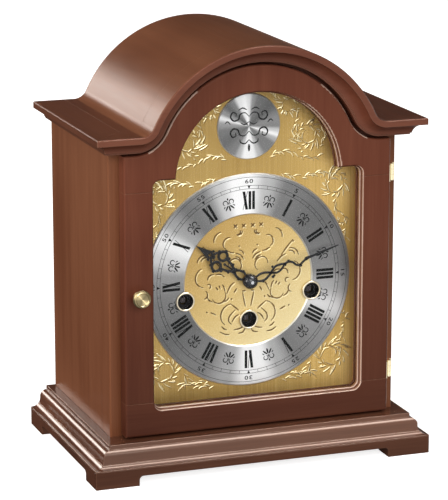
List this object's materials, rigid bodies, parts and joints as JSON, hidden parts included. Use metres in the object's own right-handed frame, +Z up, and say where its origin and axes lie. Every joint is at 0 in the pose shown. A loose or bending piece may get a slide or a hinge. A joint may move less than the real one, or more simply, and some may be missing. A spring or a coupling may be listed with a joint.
{
  "type": "mantel clock",
  "caption": "Key-wound striking mantel clock: arched wooden case with moulded base and cornice, hinged glazed door, gilt dial with silvered ring, hands, spring movement and chime rods.",
  "frame": {"origin": "middle of the footprint, on the surface that the clock stands on", "axes": "+X to the dial's right, -Y out of the dial, +Z up"},
  "size_m": [0.25, 0.164, 0.302],
  "materials": {
    "mahogany": "semi-gloss mahogany lacquer",
    "inner_wood": "satin stain",
    "brass": "polished brass",
    "gilt": "brushed gilt with engraved scrolls",
    "silvered": "spun silver",
    "black_steel": "black lacquer",
    "steel": "bright steel",
    "iron": "black japanned",
    "glass": "clear flat glass"
  },
  "bodies": {
    "case": {"plinth_rails": "mahogany", "base_moulding": "mahogany", "base_board": "inner_wood", "side_panels": "mahogany", "front_frame": "mahogany", "catch_magnet": "steel", "cornice_front": "mahogany", "cornice_sides": "mahogany", "roof_vault": "mahogany", "back_hinge_knuckles": "brass", "back_stops": "inner_wood", "hinge_case_leaves": "brass", "hinge_pins": "steel", "dial_plate": "gilt", "chapter_ring": "silvered", "arch_disc": "silvered", "winding_grommets": "brass", "dial_posts": "steel", "movement_front_plate": "brass", "movement_back_plate": "brass", "plate_pillars": "steel", "pillar_screws": "steel", "seat_board": "inner_wood", "seat_brackets": "steel", "escapement_platform": "brass", "chime_block": "iron", "chime_rods": "steel", "hammer_bracket": "steel"},
    "front_door": {"door_bottom_rail": "mahogany", "door_stiles": "mahogany", "door_head": "mahogany", "door_glass": "glass", "glass_bead": "mahogany", "hinge_door_leaves": "brass", "door_knob": "brass", "knob_screw": "steel", "catch_strike": "steel"},
    "back_door": {"back_door": "inner_wood", "back_hinge_leaves": "brass"},
    "minute_arbor": {"centre_arbor": "brass", "cannon_pinion": "brass", "minute_hand": "black_steel", "hand_nut": "black_steel"},
    "minute_wheel": {"minute_wheel": "brass"},
    "hour_pipe": {"hour_wheel": "brass", "hour_hand": "black_steel"},
    "third_arbor": {"third_wheel": "brass"},
    "balance": {"balance_wheel": "brass", "hairspring": "steel"},
    "barrel_left": {"barrel_left": "brass"},
    "winding_left": {"winding_arbor_left": "steel"},
    "barrel_centre": {"barrel_centre": "brass"},
    "winding_centre": {"winding_arbor_centre": "steel"},
    "barrel_right": {"barrel_right": "brass"},
    "winding_right": {"winding_arbor_right": "steel"},
    "hammer_1": {"hammer_1": "brass"},
    "hammer_2": {"hammer_2": "brass"},
    "hammer_3": {"hammer_3": "brass"},
    "hammer_4": {"hammer_4": "brass"},
    "hammer_5": {"hammer_5": "brass"}
  },
  "joints": [
    {"name": "front_door_hinge", "type": "hinge", "parent": "case", "child": "front_door", "pos_m": [0.1024, -0.0589, 0.13], "axis": [0, 0, 1], "range_deg": [0, 110]},
    {"name": "back_door_hinge", "type": "hinge", "parent": "case", "child": "back_door", "pos_m": [0.0956, 0.0769, 0.13], "axis": [0, 0, 1], "range_deg": [-100, 0]},
    {"name": "minute_hand_turn", "type": "hinge", "parent": "case", "child": "minute_arbor", "pos_m": [0, -0.05, 0.13], "axis": [0, 1, 0], "continuous": true},
    {"name": "hour_hand_turn", "type": "hinge", "parent": "case", "child": "hour_pipe", "pos_m": [0, -0.048, 0.13], "axis": [0, 1, 0], "continuous": true},
    {"name": "minute_wheel_turn", "type": "hinge", "parent": "case", "child": "minute_wheel", "pos_m": [0.00891, -0.038, 0.13891], "axis": [0, 1, 0], "continuous": true},
    {"name": "third_wheel_turn", "type": "hinge", "parent": "case", "child": "third_arbor", "pos_m": [-0.01145, -0.018, 0.14145], "axis": [0, 1, 0], "continuous": true},
    {"name": "balance_swing", "type": "hinge", "parent": "case", "child": "balance", "pos_m": [0.034, 0.009, 0.15], "axis": [0, 1, 0], "range_deg": [-150, 150], "stiffness_Nm_per_rad": 0.0001},
    {"name": "barrel_left_turn", "type": "hinge", "parent": "case", "child": "barrel_left", "pos_m": [-0.0474, -0.02, 0.1186], "axis": [0, 1, 0], "continuous": true},
    {"name": "winding_left_turn", "type": "hinge", "parent": "case", "child": "winding_left", "pos_m": [-0.0474, -0.04, 0.1186], "axis": [0, 1, 0], "continuous": true},
    {"name": "barrel_centre_turn", "type": "hinge", "parent": "case", "child": "barrel_centre", "pos_m": [0, -0.02, 0.1016], "axis": [0, 1, 0], "continuous": true},
    {"name": "winding_centre_turn", "type": "hinge", "parent": "case", "child": "winding_centre", "pos_m": [0, -0.04, 0.1016], "axis": [0, 1, 0], "continuous": true},
    {"name": "barrel_right_turn", "type": "hinge", "parent": "case", "child": "barrel_right", "pos_m": [0.0474, -0.02, 0.1186], "axis": [0, 1, 0], "continuous": true},
    {"name": "winding_right_turn", "type": "hinge", "parent": "case", "child": "winding_right", "pos_m": [0.0474, -0.04, 0.1186], "axis": [0, 1, 0], "continuous": true},
    {"name": "hammer_1_lift", "type": "hinge", "parent": "case", "child": "hammer_1", "pos_m": [0.02, 0.02, 0.074], "axis": [0, 1, 0], "range_deg": [0, 20]},
    {"name": "hammer_2_lift", "type": "hinge", "parent": "case", "child": "hammer_2", "pos_m": [0.02, 0.028, 0.074], "axis": [0, 1, 0], "range_deg": [0, 20]},
    {"name": "hammer_3_lift", "type": "hinge", "parent": "case", "child": "hammer_3", "pos_m": [0.02, 0.036, 0.074], "axis": [0, 1, 0], "range_deg": [0, 20]},
    {"name": "hammer_4_lift", "type": "hinge", "parent": "case", "child": "hammer_4", "pos_m": [0.02, 0.044, 0.074], "axis": [0, 1, 0], "range_deg": [0, 20]},
    {"name": "hammer_5_lift", "type": "hinge", "parent": "case", "child": "hammer_5", "pos_m": [0.02, 0.052, 0.074], "axis": [0, 1, 0], "range_deg": [0, 20]}
  ],
  "couplings": [
    {"joint": "hour_hand_turn", "follows": "minute_hand_turn", "ratio": 0.083333},
    {"joint": "minute_wheel_turn", "follows": "minute_hand_turn", "ratio": -0.33333},
    {"joint": "third_wheel_turn", "follows": "minute_hand_turn", "ratio": -8},
    {"joint": "barrel_centre_turn", "follows": "minute_hand_turn", "ratio": -0.083333}
  ]
}
